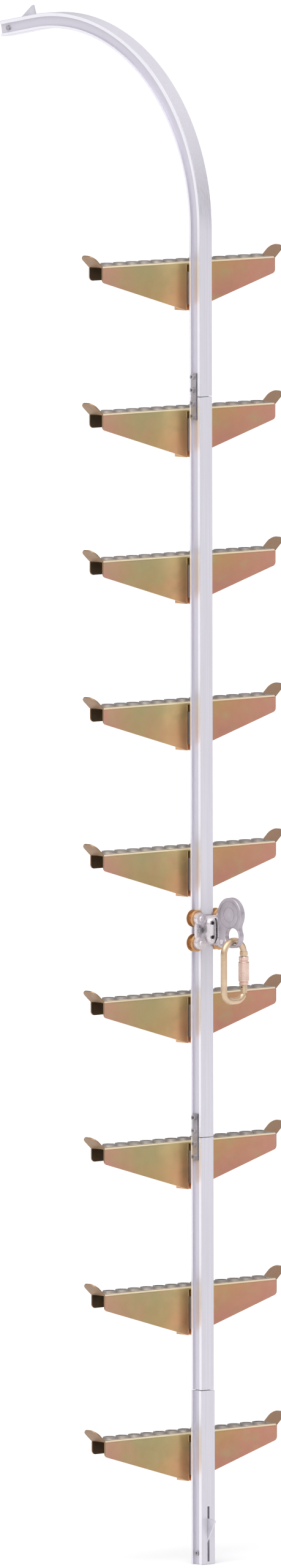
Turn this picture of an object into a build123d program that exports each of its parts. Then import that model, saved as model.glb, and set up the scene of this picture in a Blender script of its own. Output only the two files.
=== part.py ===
from build123d import *
from math import cos, sin, radians
import os

os.makedirs("parts", exist_ok=True)

# Fixed safety ladder with one extruded rail and a fall arrester that runs on it.
# Row frame, millimetres: +X along the rungs, +Y away from the climber, +Z up.
# The origin is the centre of the rail's bottom end.

# Driving dimensions: rungs
RUNG_COUNT = 9
RUNG_SPACING = 280
FIRST_TREAD = 250
RUNG_LENGTH = 450
TREAD_FRONT = 32
TREAD_BACK = 70
SHEET = 2.5

# Driving dimensions: rail extrusion
RAIL_WIDTH = 32
RAIL_DEPTH = 30
FLANGE_FRONT = 7
FLANGE_BACK = 5
WEB_HALF = 12
CAVITY_HALF = 9.2
CAVITY_FRONT = -11.5
RAIL_FACE = -RAIL_DEPTH / 2
RAIL_BACK = RAIL_DEPTH / 2
CAVITY_BACK = RAIL_BACK - FLANGE_BACK
GROOVE_FRONT = RAIL_FACE + FLANGE_FRONT
GROOVE_MIDDLE = (GROOVE_FRONT + CAVITY_BACK) / 2
ENTRY_WIDTH = 34.6
ENTRY_PROUD = 0.7

# Driving dimensions: course of the rail
ENTRY_JOINT = 334
LOWER_JOINT = 819
UPPER_JOINT = 2234
JOINT_GAP = 1.5
BEND_START = 2553
BEND_RADIUS = 383
BEND_ANGLE = 99.8
EXIT_STRAIGHT = 97

# Driving dimensions: fall arrester and karabiner
ARRESTER_HEIGHT = 1216
ROLLER_X = 29
ROLLER_Z = 23.4
ROLLER_RADIUS = 16.5
ROLLER_GROOVE_RADIUS = 11.4
PLATE_BACK = -20.2
PLATE_FRONT = -26
EAR_FRONT = -31
COVER_FRONT = -42
LEVER_PIN_Y = -62
LEVER_PIN_Z = ARRESTER_HEIGHT - 20
EYE_Y = -89
EYE_Z = ARRESTER_HEIGHT - 8
EYE_RADIUS = 16
EYE_LENGTH = 37
BAR_RADIUS = 6.25
LINK_HALF = 26
LINK_TOP = EYE_Z - EYE_RADIUS + BAR_RADIUS + 1.2
LINK_HEIGHT = 115
LINK_BOTTOM_CORNER = 20


def save(builder, name):
    """Labels a finished piece and writes its STEP file."""
    builder.part.label = name
    export_step(builder.part, f"parts/{name}.step")


def side_plane(end=Plane.XY, x=0):
    """Plane across the rail: local x runs to the rail's back, local y along the rail."""
    return Plane(origin=end.origin + end.x_dir * x, x_dir=end.y_dir, z_dir=end.x_dir)


def front_plane(y, z=0):
    """Plane facing the climber: local x is X, local y is Z, and an extrusion grows to -Y."""
    return Plane(origin=(0, y, z), x_dir=(1, 0, 0), z_dir=(0, -1, 0))


def facing(x, y, z, direction):
    """Seat of a fastener whose head stands out along the given direction."""
    across = (0, 0, 1) if direction[2] == 0 else (1, 0, 0)
    return Plane(origin=(x, y, z), x_dir=across, z_dir=direction)


LEFT = (-1, 0, 0)
RIGHT = (1, 0, 0)
FRONT = (0, -1, 0)
BACK = (0, 1, 0)

# ---------------------------------------------------------------- rail

bend = radians(BEND_ANGLE)
exit_y = BEND_RADIUS * (1 - cos(bend)) + EXIT_STRAIGHT * sin(bend)
exit_z = BEND_START + BEND_RADIUS * sin(bend) + EXIT_STRAIGHT * cos(bend)
bottom_end = Plane.XY
top_end = Plane(origin=(0, exit_y, exit_z), x_dir=(-1, 0, 0), z_dir=(0, -sin(bend), -cos(bend)))

# Stop latch measures, from the rail end inwards
LATCH_PIVOT_Y = 1
LATCH_PIVOT_Z = 21
LATCH_BOLT_RADIUS = 3
LATCH_SLOT_START = 5
LATCH_SLOT_END = 111
LATCH_SLOT_WIDTH = 5
LATCH_THICKNESS = 4
LATCH_TIP_Y = -34
LATCH_TIP_Z = 85

# Wall bracket holes in the rail's back: pairs between two rungs
WALL_HOLE_HEIGHTS = (620, 1510, 2340)
WALL_HOLE_SPACING = 60
WALL_HOLE_RADIUS = 4.5

# Rung brackets, measured from the tread
BRACKET_TOP = -3
BRACKET_WIDTH = 20
BRACKET_HEIGHT = 96
BRACKET_PLATE = 5
BRACKET_SCREW_DROPS = (-11, -91)
TONGUE_HALF = 2.8
TONGUE_TOP = -20
TONGUE_HEIGHT = 62
RUNG_BOLT_DROPS = (-33, -69)
RUNG_BOLT_Y = 50
RUNG_BOLT_RADIUS = 4

tread_heights = [FIRST_TREAD + RUNG_SPACING * step for step in range(RUNG_COUNT)]


def rail_profile(width=RAIL_WIDTH, proud=0):
    """Cross-section of the extrusion: two flanges, a hollow web and a groove on each side."""
    groove_depth = width / 2 - WEB_HALF
    with Locations((0, RAIL_BACK)):
        Rectangle(width, RAIL_DEPTH + proud, align=(Align.CENTER, Align.MAX))
    fillet(vertices(), radius=1.2)
    for side in (-1, 1):
        with Locations((side * (WEB_HALF + groove_depth / 2), GROOVE_MIDDLE)):
            Rectangle(groove_depth, CAVITY_BACK - GROOVE_FRONT, mode=Mode.SUBTRACT)
    with Locations((0, (CAVITY_FRONT + CAVITY_BACK) / 2)):
        Rectangle(2 * CAVITY_HALF, CAVITY_BACK - CAVITY_FRONT, mode=Mode.SUBTRACT)


def cut_stop_latch_room(end):
    """Slot in the rail's face and bolt hole through its webs, for the latch at one end."""
    with BuildSketch(end.offset(LATCH_SLOT_START)) as profile:
        with Locations((0, (RAIL_FACE + CAVITY_FRONT) / 2 - 0.5)):
            Rectangle(LATCH_SLOT_WIDTH, CAVITY_FRONT - RAIL_FACE + 3)
    extrude(profile.sketch, amount=LATCH_SLOT_END - LATCH_SLOT_START, mode=Mode.SUBTRACT)
    with BuildSketch(side_plane(end)) as profile:
        with Locations((LATCH_PIVOT_Y, LATCH_PIVOT_Z)):
            Circle(LATCH_BOLT_RADIUS)
    extrude(profile.sketch, amount=RAIL_WIDTH, both=True, mode=Mode.SUBTRACT)


def drill_back(heights, radius):
    """Holes through the rail's back flange."""
    with BuildSketch(Plane(origin=(0, CAVITY_BACK - 1, 0), x_dir=LEFT, z_dir=BACK)) as profile:
        with Locations(*[(0, height) for height in heights]):
            Circle(radius)
    extrude(profile.sketch, amount=FLANGE_BACK + 2, mode=Mode.SUBTRACT)


def drill_sides(heights, y, radius):
    """Holes across both webs of the rail."""
    with BuildSketch(side_plane()) as profile:
        with Locations(*[(y, height) for height in heights]):
            Circle(radius)
    extrude(profile.sketch, amount=RAIL_WIDTH, both=True, mode=Mode.SUBTRACT)


# Splice joints
SPLICE_LENGTH = 90
SPLICE_THICKNESS = 4.5
SPLICE_FRONT = -4.2
SPLICE_BACK = 9.8
SPLICE_SCREW_Y = 2.8
SPLICE_SCREW_PITCH = 25
SPLICE_SCREW_RADIUS = 3
CORE_LENGTH = 120
ENTRY_SCREW_RADIUS = 2.5

splice_steps = [(index - 1.5) * SPLICE_SCREW_PITCH for index in range(4)]
splice_joints = (LOWER_JOINT, UPPER_JOINT)
splice_screw_heights = [joint + step for joint in splice_joints for step in splice_steps]
entry_screw_heights = [ENTRY_JOINT + side * distance for side in (-1, 1) for distance in (20, 45)]
bracket_screw_heights = [tread + drop for tread in tread_heights for drop in BRACKET_SCREW_DROPS]
wall_hole_heights = [
    height + side * WALL_HOLE_SPACING / 2 for height in WALL_HOLE_HEIGHTS for side in (-1, 1)
]


def within(heights, low, high):
    """The heights that fall on one stretch of the rail."""
    return [height for height in heights if low < height < high]


def straight_rail(low, high, width=RAIL_WIDTH, proud=0):
    """One straight stretch of the rail with every hole that falls on it."""
    with BuildSketch(Plane.XY.offset(low)) as profile:
        rail_profile(width, proud)
    extrude(profile.sketch, amount=high - low)
    drill_back(within(bracket_screw_heights, low, high), 2.5)
    if within(wall_hole_heights, low, high):
        drill_back(within(wall_hole_heights, low, high), WALL_HOLE_RADIUS)
    if within(entry_screw_heights, low, high):
        drill_back(within(entry_screw_heights, low, high), ENTRY_SCREW_RADIUS)
    if within(splice_screw_heights, low, high):
        drill_sides(within(splice_screw_heights, low, high), SPLICE_SCREW_Y, SPLICE_SCREW_RADIUS)


with BuildPart() as entry_section:
    straight_rail(0, ENTRY_JOINT - JOINT_GAP / 2, ENTRY_WIDTH, ENTRY_PROUD)
    cut_stop_latch_room(bottom_end)
save(entry_section, "rail_entry_section")

with BuildPart() as lower_section:
    straight_rail(ENTRY_JOINT + JOINT_GAP / 2, LOWER_JOINT - JOINT_GAP / 2)
save(lower_section, "rail_lower_section")

with BuildPart() as middle_section:
    straight_rail(LOWER_JOINT + JOINT_GAP / 2, UPPER_JOINT - JOINT_GAP / 2)
save(middle_section, "rail_middle_section")

with BuildPart() as top_section:
    straight_rail(UPPER_JOINT + JOINT_GAP / 2, BEND_START)
    with BuildSketch(Plane.XY.offset(BEND_START)):
        rail_profile()
    revolve(axis=Axis((0, BEND_RADIUS, BEND_START), LEFT), revolution_arc=BEND_ANGLE)
    with BuildSketch(top_end):
        rail_profile()
    extrude(amount=EXIT_STRAIGHT)
    cut_stop_latch_room(top_end)
save(top_section, "rail_top_section")

# Plugs that close the rail's two open ends
PLUG_THICKNESS = 4
with BuildPart() as end_plugs:
    for end in (bottom_end, top_end):
        with BuildSketch(end):
            with Locations((0, (CAVITY_FRONT + CAVITY_BACK) / 2)):
                Rectangle(2 * CAVITY_HALF, CAVITY_BACK - CAVITY_FRONT)
        extrude(amount=PLUG_THICKNESS)
save(end_plugs, "rail_end_plugs")

# ---------------------------------------------------------------- fasteners


def hex_socket(seat, head_height, across_flats, depth):
    """Hexagon recess in the top of a head."""
    with BuildSketch(seat.offset(head_height)) as profile:
        RegularPolygon(across_flats / 2, 6, major_radius=False)
    extrude(profile.sketch, amount=-depth, mode=Mode.SUBTRACT)


def cap_screw(seat, radius, length, head_radius, head_height):
    """Socket head screw with its head on the seat and its shank behind it."""
    with BuildSketch(seat) as profile:
        Circle(head_radius)
    extrude(profile.sketch, amount=head_height)
    with BuildSketch(seat) as profile:
        Circle(radius)
    extrude(profile.sketch, amount=-length)
    hex_socket(seat, head_height, head_radius, head_height * 0.6)


def hex_nut(seat, bore, across_flats, height):
    """Nut that stands on the seat, round a shank of the given radius."""
    with BuildSketch(seat) as profile:
        RegularPolygon(across_flats / 2, 6, major_radius=False)
        Circle(bore, mode=Mode.SUBTRACT)
    extrude(profile.sketch, amount=height)


# Splices between the rail sections
web_plate = WEB_HALF + SPLICE_THICKNESS
for side, direction in (("left", LEFT), ("right", RIGHT)):
    with BuildPart() as splice_plates:
        for joint in splice_joints:
            seat = side_plane(x=WEB_HALF * direction[0])
            with BuildSketch(seat):
                with Locations(((SPLICE_FRONT + SPLICE_BACK) / 2, joint)):
                    RectangleRounded(SPLICE_BACK - SPLICE_FRONT, SPLICE_LENGTH, 1.5)
                with Locations(*[(SPLICE_SCREW_Y, joint + step) for step in splice_steps]):
                    Circle(SPLICE_SCREW_RADIUS, mode=Mode.SUBTRACT)
            extrude(amount=SPLICE_THICKNESS * direction[0])
    save(splice_plates, f"splice_plates_{side}")

with BuildPart() as splice_screws:
    for height in splice_screw_heights:
        cap_screw(facing(-web_plate, SPLICE_SCREW_Y, height, LEFT), SPLICE_SCREW_RADIUS, 38.5, 5, 5)
save(splice_screws, "splice_screws")

with BuildPart() as splice_nuts:
    for height in splice_screw_heights:
        hex_nut(facing(web_plate, SPLICE_SCREW_Y, height, RIGHT), SPLICE_SCREW_RADIUS, 10, 5)
save(splice_nuts, "splice_nuts")

# Joint cores: bars inside the rail that line two sections up
CORE_CLEARANCE = 0.2
with BuildPart() as joint_cores:
    for joint in (ENTRY_JOINT, LOWER_JOINT, UPPER_JOINT):
        with BuildSketch(Plane.XY.offset(joint - CORE_LENGTH / 2)):
            with Locations((0, (CAVITY_FRONT + CAVITY_BACK) / 2)):
                core_depth = CAVITY_BACK - CAVITY_FRONT - 2 * CORE_CLEARANCE
                RectangleRounded(2 * (CAVITY_HALF - CORE_CLEARANCE), core_depth, 1.5)
        extrude(amount=CORE_LENGTH)
    drill_sides(splice_screw_heights, SPLICE_SCREW_Y, SPLICE_SCREW_RADIUS)
    with BuildSketch(Plane(origin=(0, -1, 0), x_dir=LEFT, z_dir=BACK)):
        with Locations(*[(0, height) for height in entry_screw_heights]):
            Circle(ENTRY_SCREW_RADIUS)
    extrude(amount=15, mode=Mode.SUBTRACT)
save(joint_cores, "joint_cores")

with BuildPart() as entry_screws:
    for height in entry_screw_heights:
        cap_screw(facing(0, RAIL_BACK, height, BACK), ENTRY_SCREW_RADIUS, 15, 4.5, 3)
save(entry_screws, "entry_joint_screws")

# ---------------------------------------------------------------- rungs

FRONT_SKIRT_MIDDLE = 94
FRONT_SKIRT_END = 31
REAR_SKIRT = 29
CHEEK_GAP_HALF = 3
CHEEK_BEND = 5
FLAP_LENGTH = 32
FLAP_ANGLE = 41
FLAP_CORNER = 15
BUMP_COUNT = 13
BUMP_PITCH = 32.5
BUMP_HEIGHT = 4.5
BUMP_BASE = 15
BUMP_TOP = 12.5
BUMP_HOLE = 9

tread_middle = (TREAD_FRONT + TREAD_BACK) / 2
tread_depth = TREAD_BACK - TREAD_FRONT

with BuildPart() as rung_pressing:
    # Right half of the folded channel
    with BuildSketch(Plane.YZ):
        with Locations((tread_middle, 0)):
            Rectangle(tread_depth, SHEET, align=(Align.CENTER, Align.MAX))
        with Locations((TREAD_FRONT, 0)):
            Rectangle(SHEET, FRONT_SKIRT_MIDDLE, align=(Align.MIN, Align.MAX))
        with Locations((TREAD_BACK, 0)):
            Rectangle(SHEET, REAR_SKIRT, align=(Align.MAX, Align.MAX))
        fillet(vertices().group_by(Axis.Y)[-1], radius=5)
        fillet(vertices().filter_by(lambda corner: -4 < corner.Y < -2), radius=2.5)
    extrude(amount=RUNG_LENGTH / 2)
    # Front skirt cut away at the middle, where a cheek turns back from it
    with BuildSketch(front_plane(TREAD_FRONT + SHEET + 3)):
        with Locations((0, -6)):
            Rectangle(2 * (CHEEK_GAP_HALF + CHEEK_BEND + 1), 100, align=(Align.CENTER, Align.MAX))
    extrude(amount=SHEET + 6, mode=Mode.SUBTRACT)
    with BuildSketch(Plane.XY.offset(-FRONT_SKIRT_MIDDLE)):
        turn_centre = (CHEEK_GAP_HALF + CHEEK_BEND, TREAD_FRONT + CHEEK_BEND)
        cheek_inner = CHEEK_GAP_HALF + SHEET
        with BuildLine():
            Line((turn_centre[0] + 1, TREAD_FRONT), (turn_centre[0], TREAD_FRONT))
            CenterArc(turn_centre, CHEEK_BEND, 180, 90)
            Line((CHEEK_GAP_HALF, turn_centre[1]), (CHEEK_GAP_HALF, TREAD_BACK - 3))
            Line((CHEEK_GAP_HALF, TREAD_BACK - 3), (cheek_inner, TREAD_BACK - 3))
            Line((cheek_inner, TREAD_BACK - 3), (cheek_inner, turn_centre[1]))
            CenterArc(turn_centre, CHEEK_BEND - SHEET, 180, 90)
            Line((turn_centre[0], TREAD_FRONT + SHEET), (turn_centre[0] + 1, TREAD_FRONT + SHEET))
            Line((turn_centre[0] + 1, TREAD_FRONT + SHEET), (turn_centre[0] + 1, TREAD_FRONT))
        make_face()
    extrude(amount=FRONT_SKIRT_MIDDLE - SHEET + 0.5)
    # Sloping lower edge of the front skirt
    with BuildSketch(front_plane(TREAD_FRONT + SHEET + 1)):
        with BuildLine():
            Polyline(
                (CHEEK_GAP_HALF + SHEET, -FRONT_SKIRT_MIDDLE),
                (RUNG_LENGTH / 2, -FRONT_SKIRT_END),
                (RUNG_LENGTH / 2 + 1, -FRONT_SKIRT_END),
                (RUNG_LENGTH / 2 + 1, -FRONT_SKIRT_MIDDLE - 1),
                (CHEEK_GAP_HALF + SHEET, -FRONT_SKIRT_MIDDLE - 1),
                close=True,
            )
        make_face()
    extrude(amount=SHEET + 2, mode=Mode.SUBTRACT)
    # Rounded lower corners of both skirts at the end of the rung
    end_corners = edges().filter_by(Axis.Y).filter_by(
        lambda edge: edge.center().X > RUNG_LENGTH / 2 - 1 and edge.center().Z < -20
    )
    fillet(end_corners, radius=8)
    # Upturned flap at the end
    flap_turn = radians(FLAP_ANGLE)
    flap_plane = Plane(
        origin=(RUNG_LENGTH / 2, tread_middle, 0),
        x_dir=(cos(flap_turn), 0, sin(flap_turn)),
        z_dir=(-sin(flap_turn), 0, cos(flap_turn)),
    )
    with BuildSketch(flap_plane) as flap:
        with Locations(((FLAP_LENGTH - 1.5) / 2, 0)):
            Rectangle(FLAP_LENGTH + 1.5, tread_depth)
        fillet(vertices().group_by(Axis.X)[-1], radius=FLAP_CORNER)
    extrude(amount=-SHEET)
    mirror(about=Plane.YZ)
    # Raised, pierced grip bumps along the tread
    with Locations((0, tread_middle, -0.5)):
        with GridLocations(BUMP_PITCH, BUMP_PITCH, BUMP_COUNT, 1):
            Cone(
                BUMP_BASE, BUMP_TOP, BUMP_HEIGHT + 0.5,
                align=(Align.CENTER, Align.CENTER, Align.MIN),
            )
    with Locations((0, tread_middle, -SHEET)):
        with GridLocations(BUMP_PITCH, BUMP_PITCH, BUMP_COUNT, 1):
            Cone(
                BUMP_BASE - 2, BUMP_TOP - 2, BUMP_HEIGHT,
                align=(Align.CENTER, Align.CENTER, Align.MIN), mode=Mode.SUBTRACT,
            )
            Cylinder(BUMP_HOLE, 20, mode=Mode.SUBTRACT)
    # Bolt holes through the two cheeks
    with BuildSketch(side_plane()):
        with Locations(*[(RUNG_BOLT_Y, drop) for drop in RUNG_BOLT_DROPS]):
            Circle(RUNG_BOLT_RADIUS)
    extrude(amount=CHEEK_GAP_HALF + SHEET + 2, both=True, mode=Mode.SUBTRACT)

for number, tread in enumerate(tread_heights, start=1):
    with BuildPart() as rung:
        with Locations((0, 0, tread)):
            add(rung_pressing.part)
    save(rung, f"rung_{number}")

# Rung brackets: a plate on the rail's back and a tongue between the rung's cheeks
with BuildPart() as bracket:
    with BuildSketch(Plane(origin=(0, RAIL_BACK, 0), x_dir=LEFT, z_dir=BACK)):
        with Locations((0, BRACKET_TOP)):
            Rectangle(BRACKET_WIDTH, BRACKET_HEIGHT, align=(Align.CENTER, Align.MAX))
        with Locations(*[(0, drop) for drop in BRACKET_SCREW_DROPS]):
            Circle(2.5, mode=Mode.SUBTRACT)
    extrude(amount=BRACKET_PLATE)
    with BuildSketch(side_plane()):
        with BuildLine():
            Polyline(
                (RAIL_BACK + 2, TONGUE_TOP),
                (TREAD_BACK - 6, TONGUE_TOP),
                (TREAD_BACK - 6, TONGUE_TOP - TONGUE_HEIGHT),
                (RAIL_BACK + 2, TONGUE_TOP - TONGUE_HEIGHT),
                close=True,
            )
        make_face()
        with Locations(*[(RUNG_BOLT_Y, drop) for drop in RUNG_BOLT_DROPS]):
            Circle(RUNG_BOLT_RADIUS, mode=Mode.SUBTRACT)
    extrude(amount=TONGUE_HALF, both=True)

with BuildPart() as brackets:
    with Locations(*[(0, 0, tread) for tread in tread_heights]):
        add(bracket.part)
save(brackets, "rung_brackets")

cheek_face = CHEEK_GAP_HALF + SHEET
with BuildPart() as rung_bolt_pair:
    for drop in RUNG_BOLT_DROPS:
        cap_screw(facing(-cheek_face, RUNG_BOLT_Y, drop, LEFT), RUNG_BOLT_RADIUS, 19.5, 6.5, 8)

with BuildPart() as rung_nut_pair:
    for drop in RUNG_BOLT_DROPS:
        hex_nut(facing(cheek_face, RUNG_BOLT_Y, drop, RIGHT), RUNG_BOLT_RADIUS, 13, 7)

with BuildPart() as bracket_screw_pair:
    for drop in BRACKET_SCREW_DROPS:
        cap_screw(facing(0, RAIL_BACK + BRACKET_PLATE, drop, BACK), 2.5, BRACKET_PLATE + 4.5, 4.5, 3)

for master, name in (
    (rung_bolt_pair, "rung_bolts"),
    (rung_nut_pair, "rung_bolt_nuts"),
    (bracket_screw_pair, "bracket_screws"),
):
    with BuildPart() as fasteners:
        with Locations(*[(0, 0, tread) for tread in tread_heights]):
            add(master.part)
    save(fasteners, name)

# ---------------------------------------------------------------- stop latches

LATCH_BUSH_RADIUS = 5
SPRING_WIRE = 0.6
SPRING_TURNS = 3

for name, end in (("bottom", bottom_end), ("top", top_end)):
    # Blade with a sloping outer edge and a steep inner edge
    with BuildPart() as latch:
        with BuildSketch(side_plane(end)):
            with BuildLine():
                Polyline(
                    (-5.5, 24),
                    (-9.5, 38),
                    (-15, 47),
                    (LATCH_TIP_Y, LATCH_TIP_Z - 3),
                    (LATCH_TIP_Y, LATCH_TIP_Z),
                    (-14, LATCH_TIP_Z + 3),
                    (7.6, 23),
                    close=True,
                )
            make_face()
            with Locations((LATCH_PIVOT_Y, LATCH_PIVOT_Z)):
                Circle(7)
                Circle(LATCH_BOLT_RADIUS + 0.1, mode=Mode.SUBTRACT)
        extrude(amount=LATCH_THICKNESS / 2, both=True)
    save(latch, f"{name}_stop_latch")

    pivot = end.origin + end.y_dir * LATCH_PIVOT_Y + end.z_dir * LATCH_PIVOT_Z
    outward = end.x_dir
    with BuildPart() as latch_bolt:
        seat = Plane(origin=pivot - outward * WEB_HALF, x_dir=end.z_dir, z_dir=-outward)
        cap_screw(seat, LATCH_BOLT_RADIUS, 2 * WEB_HALF + 3.8, 5, 3.8)
    save(latch_bolt, f"{name}_latch_bolt")

    with BuildPart() as latch_nut:
        seat = Plane(origin=pivot + outward * WEB_HALF, x_dir=end.z_dir, z_dir=outward)
        hex_nut(seat, LATCH_BOLT_RADIUS, 9, 3.8)
    save(latch_nut, f"{name}_latch_nut")

    # Spacers that hold the blade in the middle of the cavity
    with BuildPart() as latch_spacers:
        for side in (-1, 1):
            start = pivot + outward * side * (LATCH_THICKNESS / 2 + 0.2)
            with BuildSketch(Plane(origin=start, x_dir=end.z_dir, z_dir=outward * side)):
                Circle(LATCH_BUSH_RADIUS)
                Circle(LATCH_BOLT_RADIUS, mode=Mode.SUBTRACT)
            extrude(amount=CAVITY_HALF - LATCH_THICKNESS / 2 - 0.2)
    save(latch_spacers, f"{name}_latch_spacers")

    # Torsion spring round one spacer
    with BuildPart() as latch_spring:
        start = pivot + outward * (LATCH_THICKNESS / 2 + 1.5)
        with BuildLine() as coil:
            Helix(1.6, 1.6 * SPRING_TURNS, LATCH_BUSH_RADIUS + 0.9, center=start, direction=outward)
        with BuildSketch(Plane(origin=coil.line @ 0, z_dir=coil.line % 0)):
            Circle(SPRING_WIRE)
        sweep(path=coil.line, is_frenet=True)
    save(latch_spring, f"{name}_latch_spring")

# ---------------------------------------------------------------- fall arrester

roller_places = {
    "upper_left": (-ROLLER_X, ARRESTER_HEIGHT + ROLLER_Z),
    "upper_right": (ROLLER_X, ARRESTER_HEIGHT + ROLLER_Z),
    "lower_left": (-ROLLER_X, ARRESTER_HEIGHT - ROLLER_Z),
    "lower_right": (ROLLER_X, ARRESTER_HEIGHT - ROLLER_Z),
}
AXLE_RADIUS = 4
BUSH_RADIUS = 6
ROLLER_FRONT = -19.9
ROLLER_BACK = -4.8
STEM_RADIUS = 5
TONGUE_PLATE_HALF = 2
EAR_RADIUS = 12
GUIDE_SCREW_RADIUS = 4
guide_screw_places = [(-ROLLER_X, 2), (ROLLER_X, 2)]

with BuildPart() as arrester_body:
    # Plate in front of the rail with an ear for each roller
    with BuildSketch(front_plane(PLATE_BACK, ARRESTER_HEIGHT)):
        Rectangle(2 * ROLLER_X + 18, 2 * ROLLER_Z)
        RectangleRounded(44, 56, 5)
        with GridLocations(2 * ROLLER_X, 2 * ROLLER_Z, 2, 2):
            Circle(EAR_RADIUS)
            Circle(AXLE_RADIUS, mode=Mode.SUBTRACT)
        Circle(STEM_RADIUS + 0.3, mode=Mode.SUBTRACT)
        with Locations(*guide_screw_places):
            Circle(GUIDE_SCREW_RADIUS, mode=Mode.SUBTRACT)
    extrude(amount=PLATE_BACK - PLATE_FRONT)
    with BuildSketch(front_plane(PLATE_FRONT + 0.5, ARRESTER_HEIGHT)):
        with GridLocations(2 * ROLLER_X, 2 * ROLLER_Z, 2, 2):
            Circle(EAR_RADIUS)
            Circle(AXLE_RADIUS, mode=Mode.SUBTRACT)
    extrude(amount=PLATE_FRONT - EAR_FRONT + 0.5)
    # Tongue that carries the lever pin
    with BuildSketch(side_plane()):
        with BuildLine():
            Polyline(
                (PLATE_FRONT + 0.5, LEVER_PIN_Z - 4),
                (-40, LEVER_PIN_Z - 4),
                (-47, LEVER_PIN_Z + 8),
                (LEVER_PIN_Y - 2, LEVER_PIN_Z + 8),
                (LEVER_PIN_Y - 7, LEVER_PIN_Z + 4),
                (LEVER_PIN_Y - 7, LEVER_PIN_Z - 4),
                (LEVER_PIN_Y - 2, LEVER_PIN_Z - 8),
                (PLATE_FRONT + 0.5, LEVER_PIN_Z - 8),
                close=True,
            )
        make_face()
        with Locations((LEVER_PIN_Y, LEVER_PIN_Z)):
            Circle(3, mode=Mode.SUBTRACT)
    extrude(amount=TONGUE_PLATE_HALF, both=True)
save(arrester_body, "arrester_body")

COVER_HALF_WIDTH = 18
COVER_HEIGHT = 55
COVER_WALL = 3
COVER_CORNER = 16
COVER_DOME = 14
cover_screw_places = [(-9, 15), (9, 15), (-9, -12), (9, -12)]
with BuildPart() as arrester_cover:
    # Domed shell over the brake, slit for the tongue
    with BuildSketch(front_plane(PLATE_FRONT, ARRESTER_HEIGHT)):
        RectangleRounded(2 * COVER_HALF_WIDTH, COVER_HEIGHT, COVER_CORNER)
    extrude(amount=PLATE_FRONT - COVER_FRONT)
    fillet(faces().sort_by(Axis.Y)[0].outer_wire().edges(), radius=COVER_DOME)
    with BuildPart(mode=Mode.SUBTRACT):
        inner_corner = COVER_CORNER - COVER_WALL
        with BuildSketch(front_plane(PLATE_FRONT, ARRESTER_HEIGHT)):
            RectangleRounded(2 * (COVER_HALF_WIDTH - COVER_WALL), COVER_HEIGHT - 2 * COVER_WALL, inner_corner)
        extrude(amount=PLATE_FRONT - COVER_FRONT - COVER_WALL)
        fillet(faces().sort_by(Axis.Y)[0].outer_wire().edges(), radius=COVER_DOME - COVER_WALL)
    with BuildSketch(front_plane(PLATE_FRONT, ARRESTER_HEIGHT)):
        Rectangle(5, COVER_HEIGHT - 8)
        with Locations((0, -COVER_HEIGHT / 2)):
            Rectangle(5, 12)
    extrude(amount=30, mode=Mode.SUBTRACT)
    with BuildSketch(front_plane(PLATE_FRONT, ARRESTER_HEIGHT)):
        with Locations(*cover_screw_places):
            Circle(5)
    extrude(amount=PLATE_FRONT - COVER_FRONT - COVER_WALL + 0.5)
    with BuildSketch(front_plane(PLATE_FRONT, ARRESTER_HEIGHT)):
        with Locations(*cover_screw_places):
            Circle(2)
    extrude(amount=30, mode=Mode.SUBTRACT)
    with BuildSketch(front_plane(COVER_FRONT + 4, ARRESTER_HEIGHT)):
        with Locations(*cover_screw_places):
            Circle(3.6)
    extrude(amount=10, mode=Mode.SUBTRACT)
save(arrester_cover, "arrester_cover")

with BuildPart() as cover_screws:
    for x, z in cover_screw_places:
        seat = facing(x, COVER_FRONT + 4, ARRESTER_HEIGHT + z, FRONT)
        cap_screw(seat, 2, 12, 3.4, 2.5)
save(cover_screws, "cover_screws")

with BuildPart() as guide_screws:
    for x, z in guide_screw_places:
        seat = facing(x, PLATE_FRONT, ARRESTER_HEIGHT + z, FRONT)
        cap_screw(seat, GUIDE_SCREW_RADIUS, 5.5, 6.5, 6)
save(guide_screws, "guide_set_screws")

with BuildPart() as axles:
    for x, z in roller_places.values():
        with BuildSketch(front_plane(-3.4)):
            with Locations((x, z)):
                Circle(AXLE_RADIUS + 1.6)
        extrude(amount=1.1)
        with BuildSketch(front_plane(-3.4)):
            with Locations((x, z)):
                Circle(AXLE_RADIUS)
        extrude(amount=-EAR_FRONT - 3.4)
        with BuildSketch(front_plane(EAR_FRONT)):
            with Locations((x, z)):
                Circle(5.5)
        extrude(amount=2, taper=25)
save(axles, "roller_axles")

with BuildPart() as bushes:
    for x, z in roller_places.values():
        with BuildSketch(front_plane(-4.6)):
            with Locations((x, z)):
                Circle(BUSH_RADIUS - 0.05)
                Circle(AXLE_RADIUS, mode=Mode.SUBTRACT)
        extrude(amount=PLATE_BACK * -1 - 4.6)
save(bushes, "roller_bushes")

for name, (x, z) in roller_places.items():
    # Grooved roller, turned about an axis along Y
    with BuildPart() as roller:
        with BuildSketch(Plane(origin=(x, 0, z))):
            with BuildLine():
                Polyline(
                    (BUSH_RADIUS, ROLLER_FRONT),
                    (ROLLER_RADIUS - 2, ROLLER_FRONT),
                    (ROLLER_RADIUS, ROLLER_FRONT + 1.2),
                    (ROLLER_RADIUS, -17.2),
                    (ROLLER_GROOVE_RADIUS, RAIL_FACE - 1),
                    (ROLLER_GROOVE_RADIUS, GROOVE_FRONT + 0.3),
                    (ROLLER_RADIUS, -6.9),
                    (ROLLER_RADIUS, ROLLER_BACK - 0.8),
                    (ROLLER_RADIUS - 1.5, ROLLER_BACK),
                    (BUSH_RADIUS, ROLLER_BACK),
                    close=True,
                )
            make_face()
        revolve(axis=Axis((x, 0, z), BACK))
    save(roller, f"roller_{name}")

# Brake: shoe with a lining, drawn back by a spring
with BuildPart() as brake_shoe:
    with BuildSketch(front_plane(-17.8, ARRESTER_HEIGHT)):
        RectangleRounded(20, 36, 2)
    extrude(amount=1.8)
    with BuildSketch(front_plane(-19.6, ARRESTER_HEIGHT)):
        Circle(STEM_RADIUS)
    extrude(amount=18.9)
save(brake_shoe, "brake_shoe")

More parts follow.
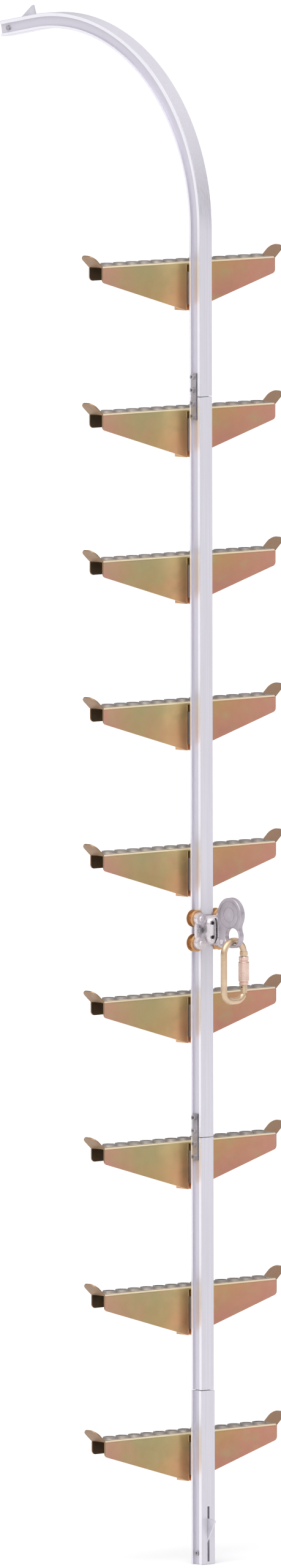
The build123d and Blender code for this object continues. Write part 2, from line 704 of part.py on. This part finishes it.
with BuildPart() as lining:
    with BuildSketch(front_plane(-16.6, ARRESTER_HEIGHT)):
        RectangleRounded(18, 34, 2)
    extrude(amount=1.2)
save(lining, "brake_lining")

with BuildPart() as shoe_spring:
    with BuildLine() as coil:
        Helix(2.6, 7.8, 6.6, center=(0, -27.2, ARRESTER_HEIGHT), direction=FRONT)
    with BuildSketch(Plane(origin=coil.line @ 0, z_dir=coil.line % 0)):
        Circle(0.7)
    sweep(path=coil.line, is_frenet=True)
save(shoe_spring, "shoe_return_spring")

with BuildPart() as shoe_clip:
    with BuildSketch(front_plane(-36.9, ARRESTER_HEIGHT)):
        Circle(7)
        Circle(STEM_RADIUS, mode=Mode.SUBTRACT)
    extrude(amount=1.6)
save(shoe_clip, "shoe_retaining_ring")

# ---------------------------------------------------------------- lever with absorber

DISC_Y = -82
DISC_Z = ARRESTER_HEIGHT + 33
DISC_RADIUS = 32.5
LEVER_HALF = 6
EYE_BOSS = 22.5
PIN_BOSS = 9
WAIST_RADIUS = 16
ABSORBER_RADIUS = 24.5
ABSORBER_HALF = 2.2
POCKET_DEPTH = 2.3
lever_rivet_places = [
    (DISC_Y - 18, DISC_Z + 9), (DISC_Y + 18, DISC_Z + 9), (DISC_Y, DISC_Z - 20),
]


def lever_outline():
    """Disc above, eye lobe below and pivot lobe behind, with a waist in front."""
    with Locations((DISC_Y, DISC_Z)):
        Circle(DISC_RADIUS)
    with Locations((EYE_Y, EYE_Z)):
        Circle(EYE_BOSS)
    with Locations((LEVER_PIN_Y, LEVER_PIN_Z)):
        Circle(PIN_BOSS)
    Polygon(
        (DISC_Y, DISC_Z),
        (DISC_Y + DISC_RADIUS - 0.1, DISC_Z - 2),
        (LEVER_PIN_Y + PIN_BOSS - 0.1, LEVER_PIN_Z + 1),
        (LEVER_PIN_Y + 1, LEVER_PIN_Z - PIN_BOSS + 0.1),
        (EYE_Y + 3, EYE_Z - EYE_BOSS + 0.3),
        (EYE_Y, EYE_Z),
        align=None,
    )
    fillet(vertices().sort_by(Axis.X)[0], radius=WAIST_RADIUS)


for side, direction in (("left", -1), ("right", 1)):
    with BuildPart() as lever_plate:
        with BuildSketch(side_plane()):
            lever_outline()
            with Locations((EYE_Y, EYE_Z)):
                RectangleRounded(EYE_LENGTH, 2 * EYE_RADIUS, EYE_RADIUS - 0.5, mode=Mode.SUBTRACT)
            with Locations((LEVER_PIN_Y, LEVER_PIN_Z)):
                Circle(3.05, mode=Mode.SUBTRACT)
            with Locations(*lever_rivet_places):
                Circle(2.5, mode=Mode.SUBTRACT)
        extrude(amount=LEVER_HALF * direction)
        outer_face = faces().sort_by(Axis.X)[0 if direction < 0 else -1]
        eye_edges = outer_face.inner_wires().sort_by(SortBy.LENGTH)[-1].edges()
        chamfer(outer_face.outer_wire().edges() + eye_edges, length=1)
        # Pockets for the absorber and for the tongue that carries the pin
        with BuildSketch(side_plane()):
            with Locations((DISC_Y, DISC_Z)):
                Circle(ABSORBER_RADIUS + 0.5)
            with Locations((LEVER_PIN_Y, LEVER_PIN_Z)):
                Circle(9.2)
            with Locations((LEVER_PIN_Y + 8, LEVER_PIN_Z - 1)):
                Rectangle(16, 26)
        extrude(amount=POCKET_DEPTH * direction, mode=Mode.SUBTRACT)
        # Embossed rings over the absorber
        with BuildSketch(side_plane(x=LEVER_HALF * direction)):
            with Locations((DISC_Y, DISC_Z)):
                Circle(25.8)
                Circle(25.0, mode=Mode.SUBTRACT)
                Circle(14.6)
                Circle(13.8, mode=Mode.SUBTRACT)
        extrude(amount=-0.5 * direction, mode=Mode.SUBTRACT)
    save(lever_plate, f"lever_plate_{side}")

with BuildPart() as absorber:
    # Wound absorber strap between the plates
    with BuildSketch(side_plane()):
        with Locations((DISC_Y, DISC_Z)):
            Circle(ABSORBER_RADIUS)
        with Locations(*lever_rivet_places):
            Circle(2.5, mode=Mode.SUBTRACT)
    extrude(amount=ABSORBER_HALF, both=True)
save(absorber, "absorber_coil")

with BuildPart() as lever_rivets:
    with BuildSketch(side_plane(x=-LEVER_HALF)):
        with Locations(*lever_rivet_places):
            Circle(2.5)
    extrude(amount=2 * LEVER_HALF)
save(lever_rivets, "lever_rivets")

with BuildPart() as lever_pin:
    with BuildSketch(side_plane(x=-LEVER_HALF - 0.2)):
        with Locations((LEVER_PIN_Y, LEVER_PIN_Z)):
            Circle(3)
    extrude(amount=2 * LEVER_HALF + 0.4)
    for direction in (-1, 1):
        with BuildSketch(side_plane(x=(LEVER_HALF + 0.2) * direction)):
            with Locations((LEVER_PIN_Y, LEVER_PIN_Z)):
                Circle(4.6)
        extrude(amount=1.4 * direction)
save(lever_pin, "lever_pin")

# ---------------------------------------------------------------- karabiner

HINGE_Z = LINK_TOP - LINK_HEIGHT + LINK_BOTTOM_CORNER
NOSE_Z = LINK_TOP - LINK_HALF - 4
SLEEVE_RADIUS = 10.5
SLEEVE_LOW = HINGE_Z + 9
SLEEVE_HIGH = NOSE_Z - 1.5
GATE_RADIUS = 5.2
FORK_HALF = 2

with BuildPart() as frame_link:
    # Oval bar from the nose over the top, down the closed side and round to the gate hinge
    with BuildLine(Plane(origin=(0, EYE_Y, 0), x_dir=RIGHT, z_dir=FRONT)) as link_path:
        Line((LINK_HALF, NOSE_Z), (LINK_HALF, LINK_TOP - LINK_HALF))
        CenterArc((0, LINK_TOP - LINK_HALF), LINK_HALF, 0, 180)
        Line((-LINK_HALF, LINK_TOP - LINK_HALF), (-LINK_HALF, HINGE_Z))
        CenterArc((-LINK_HALF + LINK_BOTTOM_CORNER, HINGE_Z), LINK_BOTTOM_CORNER, 180, 90)
        Line(
            (-LINK_HALF + LINK_BOTTOM_CORNER, HINGE_Z - LINK_BOTTOM_CORNER),
            (LINK_HALF - LINK_BOTTOM_CORNER, HINGE_Z - LINK_BOTTOM_CORNER),
        )
        CenterArc((LINK_HALF - LINK_BOTTOM_CORNER, HINGE_Z), LINK_BOTTOM_CORNER, 270, 60)
    with BuildSketch(Plane(origin=(LINK_HALF, EYE_Y, NOSE_Z), z_dir=(0, 0, 1))):
        Circle(BAR_RADIUS)
    sweep(path=link_path.line)
    # Collar at the nose
    with BuildSketch(Plane(origin=(LINK_HALF, EYE_Y, NOSE_Z), z_dir=(0, 0, 1))):
        Circle(BAR_RADIUS + 1.6)
    extrude(amount=8)
    # Stub at the nose that the gate closes over, and tongue for the gate pin
    with BuildSketch(Plane(origin=(0, EYE_Y, 0), x_dir=RIGHT, z_dir=FRONT)):
        with Locations((LINK_HALF, HINGE_Z)):
            Circle(5.5)
        with Locations((LINK_HALF - 1.8, HINGE_Z - 7)):
            Rectangle(8, 14)
        with Locations((LINK_HALF, HINGE_Z)):
            Circle(2, mode=Mode.SUBTRACT)
    extrude(amount=FORK_HALF, both=True)
save(frame_link, "karabiner_frame")

with BuildPart() as gate:
    # Round bar with a fork at the foot
    with BuildSketch(Plane(origin=(LINK_HALF, EYE_Y, HINGE_Z - 5.5), z_dir=(0, 0, 1))):
        Circle(BAR_RADIUS)
    extrude(amount=14)
    with BuildSketch(Plane(origin=(LINK_HALF, EYE_Y, HINGE_Z + 8), z_dir=(0, 0, 1))):
        Circle(GATE_RADIUS)
    extrude(amount=NOSE_Z - 0.5 - HINGE_Z - 8)
    with BuildSketch(Plane(origin=(0, EYE_Y, 0), x_dir=RIGHT, z_dir=FRONT)):
        with Locations((LINK_HALF, HINGE_Z - 1)):
            Rectangle(14, 15)
    extrude(amount=FORK_HALF + 0.3, both=True, mode=Mode.SUBTRACT)
    with BuildSketch(Plane(origin=(0, EYE_Y, 0), x_dir=RIGHT, z_dir=FRONT)):
        with Locations((LINK_HALF, HINGE_Z)):
            Circle(2.05)
    extrude(amount=10, both=True, mode=Mode.SUBTRACT)
save(gate, "karabiner_gate")

with BuildPart() as gate_pin:
    with BuildSketch(Plane(origin=(0, EYE_Y + BAR_RADIUS, 0), x_dir=RIGHT, z_dir=FRONT)):
        with Locations((LINK_HALF, HINGE_Z)):
            Circle(2)
    extrude(amount=2 * BAR_RADIUS)
save(gate_pin, "gate_pin")

with BuildPart() as sleeve:
    # Knurled locking sleeve
    with BuildSketch(Plane(origin=(LINK_HALF, EYE_Y, SLEEVE_LOW), z_dir=(0, 0, 1))):
        Circle(SLEEVE_RADIUS)
        Circle(GATE_RADIUS + 0.1, mode=Mode.SUBTRACT)
    extrude(amount=SLEEVE_HIGH - SLEEVE_LOW)
    chamfer(edges().filter_by(GeomType.CIRCLE).sort_by(SortBy.RADIUS)[-2:], length=1.5)
save(sleeve, "locking_sleeve")
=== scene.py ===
from math import cos, sin, pi, radians

import bmesh
import bpy
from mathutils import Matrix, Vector


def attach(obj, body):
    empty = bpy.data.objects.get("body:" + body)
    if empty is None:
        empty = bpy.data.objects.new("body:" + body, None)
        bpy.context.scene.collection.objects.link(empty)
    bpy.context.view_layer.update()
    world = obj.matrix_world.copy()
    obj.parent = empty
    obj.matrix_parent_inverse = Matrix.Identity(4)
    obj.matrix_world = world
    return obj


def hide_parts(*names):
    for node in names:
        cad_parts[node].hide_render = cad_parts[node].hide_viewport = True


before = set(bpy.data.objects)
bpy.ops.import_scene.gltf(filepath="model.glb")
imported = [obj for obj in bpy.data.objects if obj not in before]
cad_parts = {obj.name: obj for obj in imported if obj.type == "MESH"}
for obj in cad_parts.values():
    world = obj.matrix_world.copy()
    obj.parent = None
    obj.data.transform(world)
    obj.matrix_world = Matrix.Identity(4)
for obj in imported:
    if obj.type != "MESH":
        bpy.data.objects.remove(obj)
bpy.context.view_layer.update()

SCENE = bpy.context.scene

# ------------------------------------------------------------------ measures, in metres
FIRST_TREAD = 0.250
RUNG_PITCH = 0.280
RUNG_HALF = 0.225
SKIRT_FRONT = 0.032
TREAD_FADE = 0.06
BUMP_LEVEL = 0.0003
WEB_HALF = 0.012
SLEEVE_AXIS = (0.026, -0.089)
SLEEVE_LOW = 1.11345
SLEEVE_HIGH = 1.16795
SLEEVE_BORE = 0.0053
SLEEVE_STEPS = 128
FLUTE = 0.00015
FLOOR_REACH = 600.0
FLOOR_LEVEL = -0.0005
SHARP_ANGLE = radians(28)
BEVEL_ANGLE = radians(40)
FINE_EDGE = 0.0004
SOFT_EDGE = 0.0006

# ------------------------------------------------------------------ camera and studio
# A sun is its azimuth and elevation in degrees, its strength, and its spread in degrees
KEY_SUN = (-70, 52, 1.2, 50)
FILL_SUN = (-22, 35, 0.6, 70)
SKY_STRENGTH = 0.87
BLUE_CAST = 1.01
CAMERA_AZIMUTH = radians(-43)
CAMERA_ELEVATION = radians(4.75)
CAMERA_ROLL = radians(0.12)
CAMERA_DISTANCE = 50.0
PICTURE_HEIGHT = 2.987
LOOK_AT = Vector((-0.0851, 0.0793, 1.494))
SENSOR_HEIGHT = 24.0
# The lens fits the height, so this width doesn't touch the main picture. It only
# tells an orbiting camera how far back it has to stand to see the whole ladder.
SENSOR_WIDTH = 85.0


def direction(azimuth, elevation):
    """Unit vector from the object towards a camera or light, azimuth 0 being the climber's side."""
    return Vector((sin(azimuth) * cos(elevation), -cos(azimuth) * cos(elevation), sin(elevation)))


def make_camera():
    data = bpy.data.cameras.new("camera")
    data.sensor_fit = "VERTICAL"
    data.sensor_height = SENSOR_HEIGHT
    data.sensor_width = SENSOR_WIDTH
    data.lens = SENSOR_HEIGHT * CAMERA_DISTANCE / PICTURE_HEIGHT
    data.clip_start, data.clip_end = 1.0, 200.0
    camera = bpy.data.objects.new("camera", data)
    SCENE.collection.objects.link(camera)
    back = direction(CAMERA_AZIMUTH, CAMERA_ELEVATION)
    camera.location = LOOK_AT + back * CAMERA_DISTANCE
    camera.rotation_euler = (-back).to_track_quat("-Z", "Y").to_euler()
    camera.rotation_euler.rotate_axis("Z", -CAMERA_ROLL)
    SCENE.camera = camera


def make_sun(name, azimuth, elevation, strength, spread):
    data = bpy.data.lights.new(name, "SUN")
    data.energy = strength
    data.angle = radians(spread)
    sun = bpy.data.objects.new(name, data)
    SCENE.collection.objects.link(sun)
    back = direction(radians(azimuth), radians(elevation))
    sun.rotation_euler = (-back).to_track_quat("-Z", "Y").to_euler()


def make_studio():
    make_sun("key", *KEY_SUN)
    make_sun("fill", *FILL_SUN)
    world = bpy.data.worlds.new("studio")
    SCENE.world = world
    world.use_nodes = True
    nodes, links = world.node_tree.nodes, world.node_tree.links
    nodes.clear()
    output = nodes.new("ShaderNodeOutputWorld")
    mix = nodes.new("ShaderNodeMixShader")
    seen = nodes.new("ShaderNodeBackground")
    light = nodes.new("ShaderNodeBackground")
    light.inputs["Strength"].default_value = SKY_STRENGTH
    rays = nodes.new("ShaderNodeLightPath")
    place = nodes.new("ShaderNodeTexCoord")
    split = nodes.new("ShaderNodeSeparateXYZ")
    ramp = nodes.new("ShaderNodeValToRGB")
    seen.inputs["Color"].default_value = (1, 1, 1, 1)
    seen.inputs["Strength"].default_value = 1.0
    ramp.color_ramp.elements[0].position = 0.0
    ramp.color_ramp.elements[0].color = (0.30, 0.30, 0.31, 1)
    ramp.color_ramp.elements[1].position = 1.0
    ramp.color_ramp.elements[1].color = (1.25, 1.25, 1.28, 1)
    for position, level in ((0.12, 0.34), (0.35, 0.85)):
        element = ramp.color_ramp.elements.new(position)
        element.color = (level, level, level * BLUE_CAST, 1)
    links.new(place.outputs["Generated"], split.inputs[0])
    links.new(split.outputs["Z"], ramp.inputs["Fac"])
    links.new(ramp.outputs["Color"], light.inputs["Color"])
    links.new(rays.outputs["Is Camera Ray"], mix.inputs["Fac"])
    links.new(light.outputs[0], mix.inputs[1])
    links.new(seen.outputs[0], mix.inputs[2])
    links.new(mix.outputs[0], output.inputs["Surface"])


# ------------------------------------------------------------------ material helpers


def linear(red, green, blue):
    """Linear colour of a display colour given as 0 to 255."""
    return tuple(
        c / 12.92 if c <= 0.04045 else ((c + 0.055) / 1.055) ** 2.4
        for c in (red / 255, green / 255, blue / 255)
    ) + (1.0,)


class Finish:
    """A Principled material with a few helpers to wire procedural detail into it."""

    def __init__(self, name, metallic, roughness, **constants):
        self.material = bpy.data.materials.new(name)
        self.material.use_nodes = True
        self.tree = self.material.node_tree
        self.shader = self.tree.nodes["Principled BSDF"]
        self.shader.inputs["Metallic"].default_value = metallic
        self.shader.inputs["Roughness"].default_value = roughness
        for key, value in constants.items():
            self.shader.inputs[key.replace("_", " ")].default_value = value
        self.place = self.node("ShaderNodeTexCoord").outputs["Object"]

    def node(self, kind, **settings):
        made = self.tree.nodes.new(kind)
        for key, value in settings.items():
            setattr(made, key, value)
        return made

    def link(self, source, target):
        self.tree.links.new(source, target)

    def axis(self, letter, source=None):
        split = self.node("ShaderNodeSeparateXYZ")
        self.link(source or self.place, split.inputs[0])
        return split.outputs[letter]

    def math(self, operation, first, second=None, third=None):
        made = self.node("ShaderNodeMath", operation=operation)
        for slot, value in enumerate((first, second, third)):
            if value is None:
                continue
            if isinstance(value, (int, float)):
                made.inputs[slot].default_value = value
            else:
                self.link(value, made.inputs[slot])
        return made.outputs[0]

    def noise(self, scale, stretch=(1, 1, 1), detail=3.0, offset=(0, 0, 0)):
        mapping = self.node("ShaderNodeMapping")
        mapping.inputs["Scale"].default_value = stretch
        mapping.inputs["Location"].default_value = offset
        self.link(self.place, mapping.inputs["Vector"])
        made = self.node("ShaderNodeTexNoise")
        made.inputs["Scale"].default_value = scale
        made.inputs["Detail"].default_value = detail
        self.link(mapping.outputs[0], made.inputs["Vector"])
        return made.outputs["Fac"]

    def spread(self, source, low, high, start=0.3, end=0.7):
        made = self.node("ShaderNodeMapRange")
        made.inputs["From Min"].default_value = start
        made.inputs["From Max"].default_value = end
        made.inputs["To Min"].default_value = low
        made.inputs["To Max"].default_value = high
        self.link(source, made.inputs["Value"])
        return made.outputs[0]

    def ramp(self, source, stops):
        made = self.node("ShaderNodeValToRGB")
        made.color_ramp.interpolation = "B_SPLINE" if len(stops) > 3 else "LINEAR"
        elements = made.color_ramp.elements
        while len(elements) < len(stops):
            elements.new(0.5)
        for element, (position, colour) in zip(elements, stops):
            element.position = position
            element.color = colour
        self.link(source, made.inputs["Fac"])
        return made.outputs["Color"]

    def mix(self, factor, first, second, blend="MIX"):
        made = self.node("ShaderNodeMix", data_type="RGBA", blend_type=blend)
        for slot, value in ((0, factor), (6, first), (7, second)):
            if isinstance(value, (int, float, tuple)):
                made.inputs[slot].default_value = value
            else:
                self.link(value, made.inputs[slot])
        return made.outputs[2]

    def colour(self, source):
        self.link(source, self.shader.inputs["Base Color"])

    def roughness(self, source):
        self.link(source, self.shader.inputs["Roughness"])

    def bump(self, height, strength, distance=0.0004):
        made = self.node("ShaderNodeBump")
        made.inputs["Strength"].default_value = strength
        made.inputs["Distance"].default_value = distance
        self.link(height, made.inputs["Height"])
        self.link(made.outputs[0], self.shader.inputs["Normal"])


def coat(red, green, blue):
    """A display colour of the chromate, toned down for the studio light."""
    return tuple(c * tone for c, tone in zip(linear(red, green, blue), (0.91, 0.82, 0.78, 1.0)))


def rung_finish():
    """Yellow chromated zinc: interference colours that wander along and down each rung."""
    f = Finish("yellow_chromate", 0.72, 0.36)
    along = f.math("DIVIDE", f.axis("X"), 2 * RUNG_HALF)
    along = f.math("ADD", along, 0.5)
    wander = f.math("MULTIPLY", f.math("SUBTRACT", f.noise(9, (1, 1, 2)), 0.5), 0.10)
    along = f.math("ADD", along, wander)
    # The palest stop, at 0.44, is painted light: it brightens the -X wing beside the rail to make up
    # for the shade there
    upper = f.ramp(along, [
        (0.02, coat(196, 158, 134)), (0.12, coat(184, 164, 122)), (0.22, coat(170, 168, 124)),
        (0.34, coat(174, 168, 122)), (0.44, coat(248, 232, 170)), (0.56, coat(190, 168, 112)),
        (0.68, coat(190, 158, 108)), (0.80, coat(196, 150, 118)), (0.98, coat(200, 150, 132)),
    ])
    # Its palest stop, at 0.44, is painted light beside the rail on the -X wing as well
    lower = f.ramp(along, [
        (0.02, coat(190, 144, 134)), (0.10, coat(188, 150, 120)), (0.20, coat(180, 162, 116)),
        (0.34, coat(184, 160, 110)), (0.44, coat(255, 212, 160)), (0.56, coat(200, 150, 116)),
        (0.68, coat(188, 138, 124)), (0.80, coat(192, 142, 120)), (0.98, coat(196, 146, 132)),
    ])
    # Height above the tread, wrapped so that every rung has the same colours
    height = f.math("SUBTRACT", f.axis("Z"), FIRST_TREAD)
    height = f.math("WRAP", height, TREAD_FADE, TREAD_FADE - RUNG_PITCH)
    drop = f.spread(height, 1.0, 0.0, -TREAD_FADE, -0.004)
    front = f.mix(drop, upper, lower)
    # The coating has faint cloudy bands with a green and a pink cast
    cloud = f.noise(26, (1, 1, 1.6), 5)
    front = f.mix(f.spread(cloud, 0.0, 0.35, 0.50, 0.72), front, coat(172, 176, 128))
    pink = f.spread(f.noise(17, (1.4, 1, 1), 4, (3, 1, 2)), 0.0, 0.3, 0.55, 0.75)
    front = f.mix(pink, front, coat(214, 150, 138))
    # Treads are greyer and duller from shoes
    normal = f.node("ShaderNodeNewGeometry").outputs["Normal"]
    facing_up = f.spread(f.axis("Z", normal), 0.0, 1.0, 0.55, 0.9)
    on_bumps = f.math("GREATER_THAN", height, BUMP_LEVEL)
    between_flaps = f.math("LESS_THAN", f.math("ABSOLUTE", f.axis("X")), RUNG_HALF - 0.001)
    tread = f.math("MULTIPLY", f.math("MAXIMUM", facing_up, on_bumps), between_flaps)
    worn = f.mix(f.noise(40, (1, 1, 1), 4), linear(132, 126, 120), linear(160, 152, 148))
    on_flaps = f.math("SUBTRACT", 1.0, between_flaps)
    surface = f.mix(f.math("MULTIPLY", on_flaps, 0.8), front, linear(136, 112, 84))
    surface = f.mix(tread, surface, worn)
    # The folded inside, where it faces the front below the tread, gets painted shade in dark olive
    inside = f.math("GREATER_THAN", f.axis("Y"), SKIRT_FRONT + 0.006)
    turned_front = f.spread(f.axis("Y", normal), 1.0, 0.0, -0.8, -0.2)
    below_tread = f.math("LESS_THAN", height, -0.002)
    inside_shade = f.math("MULTIPLY", f.math("MULTIPLY", inside, turned_front), below_tread)
    surface = f.mix(f.math("MULTIPLY", inside_shade, 0.9), surface, linear(54, 54, 42))
    # The rounded fold between tread and skirt gets a painted highlight, a pale cream line
    facing_front = f.spread(f.axis("Y", normal), 1.0, 0.0, -0.9, -0.25)
    fold_highlight = f.math("MULTIPLY", f.spread(f.axis("Z", normal), 0.0, 1.0, 0.15, 0.6), facing_front)
    fold_highlight = f.math("MULTIPLY", fold_highlight, between_flaps)
    fold_highlight = f.math("MULTIPLY", fold_highlight, f.math("SUBTRACT", 1.0, on_bumps))
    surface = f.mix(fold_highlight, surface, linear(252, 236, 200))
    f.colour(surface)
    gloss = f.spread(f.noise(60, (1, 1, 1), 4), 0.30, 0.46)
    f.roughness(f.math("ADD", gloss, f.math("MULTIPLY", tread, 0.22)))
    f.bump(f.noise(420, (1, 1, 1), 3), 0.12, 0.0002)
    return f.material


def rail_finish():
    """Extruded and clear anodised aluminium with die lines along the rail."""
    f = Finish("anodised_aluminium", 0.55, 0.34)
    lines = f.noise(60, (14, 14, 0.08), 3)
    cloud = f.noise(5, (1, 1, 0.5), 4)
    tone = f.math("ADD", f.math("MULTIPLY", lines, 0.7), f.math("MULTIPLY", cloud, 0.3))
    base = f.ramp(tone, [(0.30, linear(200, 197, 205)), (0.70, linear(220, 217, 225))])
    # The side faces get painted light, the webs in the side grooves get painted shade, and the rounded
    # edges get painted shade
    across = f.math("ABSOLUTE", f.axis("X", f.node("ShaderNodeNewGeometry").outputs["Normal"]))
    groove_shade = f.math("MULTIPLY",
                    f.math("LESS_THAN", f.math("ABSOLUTE", f.axis("X")), WEB_HALF + 0.0004),
                    f.math("GREATER_THAN", across, 0.8))
    # Faces turned to the sides get painted light, a near-white tone
    flank_light = f.math("GREATER_THAN", across, 0.8)
    base = f.mix(f.math("MULTIPLY", flank_light, 0.8), base, linear(244, 242, 248))
    base = f.mix(f.math("MULTIPLY", groove_shade, 0.5), base, linear(176, 170, 186))
    # Rounded edges, where the normal turns between side and front, get painted shade
    along_y = f.math("SQRT", f.math("SUBTRACT", 1.001, f.math("POWER", across, 2.0)))
    edge_shade = f.math("MULTIPLY", across, along_y)
    base = f.mix(f.spread(edge_shade, 0.0, 0.5, 0.2, 0.5), base, linear(160, 156, 166))
    f.colour(base)
    f.roughness(f.spread(lines, 0.28, 0.42))
    f.bump(lines, 0.10, 0.0002)
    return f.material


def metal(name, dark, pale, metallic, roughness, stretch=(1, 1, 1), grain=160, bump=0.03, **constants):
    """A metal with a soft change of tone, patchy gloss and a fine surface grain."""
    f = Finish(name, metallic, roughness, **constants)
    cloud = f.noise(38, stretch, 4)
    fine = f.noise(grain, stretch, 3, (2, 5, 1))
    tone = f.math("ADD", f.math("MULTIPLY", cloud, 0.8), f.math("MULTIPLY", fine, 0.2))
    f.colour(f.ramp(tone, [(0.30, linear(*dark)), (0.70, linear(*pale))]))
    f.roughness(f.spread(fine, roughness - 0.04, roughness + 0.06))
    f.bump(fine, bump, 0.0001)
    return f.material


def polymer(name, dark, pale, roughness):
    """Moulded plastic or friction lining with a pebbled skin."""
    f = Finish(name, 0.0, roughness)
    skin = f.noise(700, (1, 1, 1), 2)
    f.colour(f.mix(f.spread(f.noise(90), 0.0, 1.0), linear(*dark), linear(*pale)))
    f.roughness(f.spread(skin, roughness - 0.08, roughness + 0.08))
    f.bump(skin, 0.25, 0.0003)
    return f.material


def floor_finish():
    f = Finish("studio_floor", 0.0, 0.9)
    f.colour(f.mix(f.noise(0.6), (0.90, 0.90, 0.905, 1), (0.93, 0.93, 0.93, 1)))
    return f.material


# ------------------------------------------------------------------ carried-over CAD nodes


def dress(names, material, bevel=0.0):
    """Gives CAD nodes a material, smooth curved faces and, if asked, broken edges."""
    for name in names:
        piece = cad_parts[name]
        piece.data.materials.clear()
        piece.data.materials.append(material)
        piece.data.shade_smooth()
        piece.data.set_sharp_from_angle(angle=SHARP_ANGLE)
        if bevel:
            edges = piece.modifiers.new("broken_edges", "BEVEL")
            edges.width = bevel
            edges.segments = 2
            edges.limit_method = "ANGLE"
            edges.angle_limit = BEVEL_ANGLE
            edges.harden_normals = False


def dress_all(gold):
    rungs = [f"rung_{number}" for number in range(1, 10)]
    rails = ["rail_top_section", "rail_middle_section", "rail_lower_section", "rail_entry_section"]
    bright = metal("bright_stainless", (208, 202, 206), (228, 222, 226), 0.6, 0.28)
    blasted = metal("blasted_stainless", (158, 150, 158), (192, 184, 192), 0.6, 0.36)
    zinc = metal("grey_zinc", (160, 156, 160), (200, 196, 200), 0.75, 0.42, grain=340)
    bolt = metal("bright_zinc", (150, 148, 150), (200, 198, 200), 0.85, 0.30)
    dress(rungs, rung_finish())
    dress(rails, rail_finish())
    dress(["joint_cores", "rung_brackets"], metal(
        "mill_aluminium", (160, 158, 160), (204, 202, 206), 0.7, 0.38, (1, 1, 0.1)))
    dress(["splice_plates_left", "splice_plates_right", "splice_screws", "splice_nuts"], zinc)
    dress([
        "entry_joint_screws", "rung_bolts", "rung_bolt_nuts", "bracket_screws", "guide_set_screws",
        "bottom_latch_bolt", "bottom_latch_nut", "top_latch_bolt", "top_latch_nut",
    ], bolt)
    dress(["cover_screws", "brake_shoe"], metal("black_steel", (58, 55, 56), (92, 88, 90), 0.7, 0.4))
    dress(["bottom_stop_latch", "top_stop_latch", "bottom_latch_spacers", "top_latch_spacers"],
          metal("satin_stainless", (196, 194, 202), (224, 222, 228), 0.6, 0.34))
    dress(["bottom_latch_spring", "top_latch_spring", "shoe_return_spring", "shoe_retaining_ring"],
          metal("spring_wire", (96, 94, 98), (150, 148, 152), 0.85, 0.3))
    dress([
        "arrester_body", "arrester_cover", "roller_axles", "lever_pin",
    ], bright, FINE_EDGE)
    dress(["lever_plate_left", "lever_plate_right"], blasted, FINE_EDGE)
    dress(["lever_rivets"], blasted)
    dress(["absorber_coil"], metal("absorber_strap", (120, 116, 118), (160, 156, 158), 0.7, 0.4))
    dress(["roller_upper_left", "roller_upper_right", "roller_lower_left", "roller_lower_right"],
          metal("turned_brass", (184, 138, 94), (204, 160, 114), 0.75, 0.32, grain=500), FINE_EDGE)
    dress(["roller_bushes"], metal("bronze", (150, 104, 60), (186, 136, 84), 0.8, 0.35))
    dress(["brake_lining"], polymer("friction_lining", (44, 38, 34), (72, 64, 58), 0.8))
    dress(["karabiner_frame", "karabiner_gate", "gate_pin"], gold, SOFT_EDGE)
    dress(["rail_end_plugs"], polymer("black_nylon", (26, 26, 28), (42, 42, 46), 0.55))


def ring_of(mesh, radius, height, flute):
    """Closed ring of vertices round the sleeve's axis; two steps in every four dip by the flute."""
    ring = []
    for step in range(SLEEVE_STEPS):
        turn = 2 * pi * step / SLEEVE_STEPS
        reach = radius - (flute if step % 4 in (2, 3) else 0.0)
        ring.append(mesh.verts.new((
            SLEEVE_AXIS[0] + reach * cos(turn), SLEEVE_AXIS[1] + reach * sin(turn), height,
        )))
    return ring


def make_sleeve(material):
    """Locking sleeve of the karabiner: fluted grip between two turned collars, bored through."""
    length = SLEEVE_HIGH - SLEEVE_LOW
    outline = (
        # radius, height above the lower end, flute depth
        (0.0082, 0.0000, 0.0), (0.0092, 0.0010, 0.0), (0.0092, 0.0046, 0.0), (0.0086, 0.0052, 0.0),
        (0.0086, 0.0066, 0.0), (0.0099, 0.0076, 0.0), (0.0104, 0.0088, 0.0), (0.0104, 0.0100, FLUTE),
        (0.0104, 0.0420, FLUTE), (0.0104, 0.0432, 0.0), (0.0099, 0.0444, 0.0), (0.0088, 0.0452, 0.0),
        (0.0088, 0.0468, 0.0), (0.0096, 0.0476, 0.0), (0.0096, 0.0532, 0.0),
        (0.0088, length, 0.0), (SLEEVE_BORE, length, 0.0), (SLEEVE_BORE, 0.0, 0.0),
    )
    mesh = bmesh.new()
    rings = [ring_of(mesh, radius, SLEEVE_LOW + rise, flute) for radius, rise, flute in outline]
    for lower, upper in zip(rings, rings[1:] + rings[:1]):
        for step in range(SLEEVE_STEPS):
            after = (step + 1) % SLEEVE_STEPS
            mesh.faces.new((lower[step], lower[after], upper[after], upper[step]))
    bmesh.ops.recalc_face_normals(mesh, faces=mesh.faces)
    data = bpy.data.meshes.new("locking_sleeve_turned")
    mesh.to_mesh(data)
    mesh.free()
    data.materials.append(material)
    data.shade_smooth()
    data.set_sharp_from_angle(angle=SHARP_ANGLE)
    sleeve = bpy.data.objects.new("locking_sleeve_turned", data)
    SCENE.collection.objects.link(sleeve)
    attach(sleeve, "sleeve")
    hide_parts("locking_sleeve")


def make_floor():
    mesh = bpy.data.meshes.new("floor")
    corners = [
        (side_x * FLOOR_REACH, side_y * FLOOR_REACH, FLOOR_LEVEL)
        for side_x, side_y in ((-1, -1), (1, -1), (1, 1), (-1, 1))
    ]
    mesh.from_pydata(corners, [], [(0, 1, 2, 3)])
    floor = bpy.data.objects.new("floor", mesh)
    SCENE.collection.objects.link(floor)
    mesh.materials.append(floor_finish())


SCENE.view_settings.view_transform = "Standard"
make_camera()
make_studio()
make_floor()
gold_zinc = metal("pale_gold_zinc", (196, 168, 138), (216, 192, 164), 0.75, 0.30)
dress_all(gold_zinc)
make_sleeve(metal("rose_zinc", (208, 178, 162), (230, 204, 192), 0.75, 0.26))
